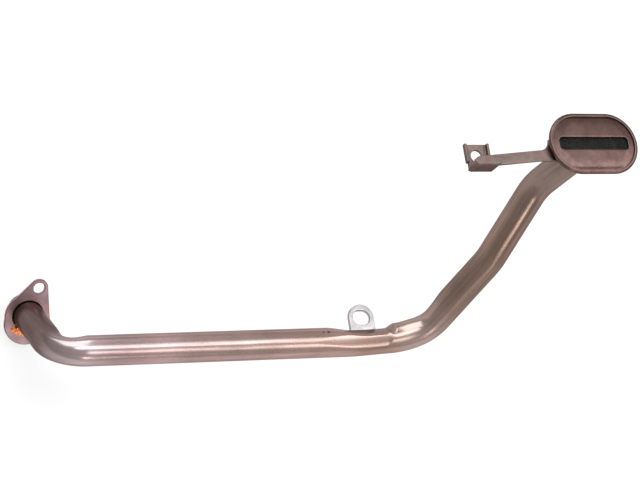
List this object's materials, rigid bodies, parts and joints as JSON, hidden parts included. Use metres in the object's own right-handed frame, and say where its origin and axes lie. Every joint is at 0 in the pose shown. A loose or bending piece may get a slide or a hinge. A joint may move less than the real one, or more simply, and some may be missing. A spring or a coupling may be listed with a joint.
{
  "type": "oil pickup tube",
  "caption": "Bent steel suction pipe with a bolt-on pump flange, a slotted stud tab, a folded strut bracket and a flat oval pickup head with a screened inlet slot.",
  "frame": {"origin": "centre of the flange's pump face, on the axis of the pipe's sized end", "axes": "+X along the long straight towards the pickup head, +Z the way the head's inlet faces, +Y completes the frame"},
  "size_m": [0.4175, 0.1281, 0.2297],
  "materials": {
    "tube_steel": "satin, copper tinted by furnace brazing",
    "flange_steel": "satin, stamped",
    "braze_copper": "lumpy, bright",
    "tab_steel": "bright, stamped",
    "head_steel": "satin, drawn",
    "screen_wire": "dark woven wire",
    "strut_steel": "satin, folded"
  },
  "bodies": {
    "root": {"pickup_tube": "tube_steel", "mounting_flange": "flange_steel", "flange_braze": "braze_copper", "stud_tab": "tab_steel", "head_shell": "head_steel", "inlet_plate": "head_steel", "screen": "screen_wire", "strut_bracket": "strut_steel"}
  },
  "joints": []
}
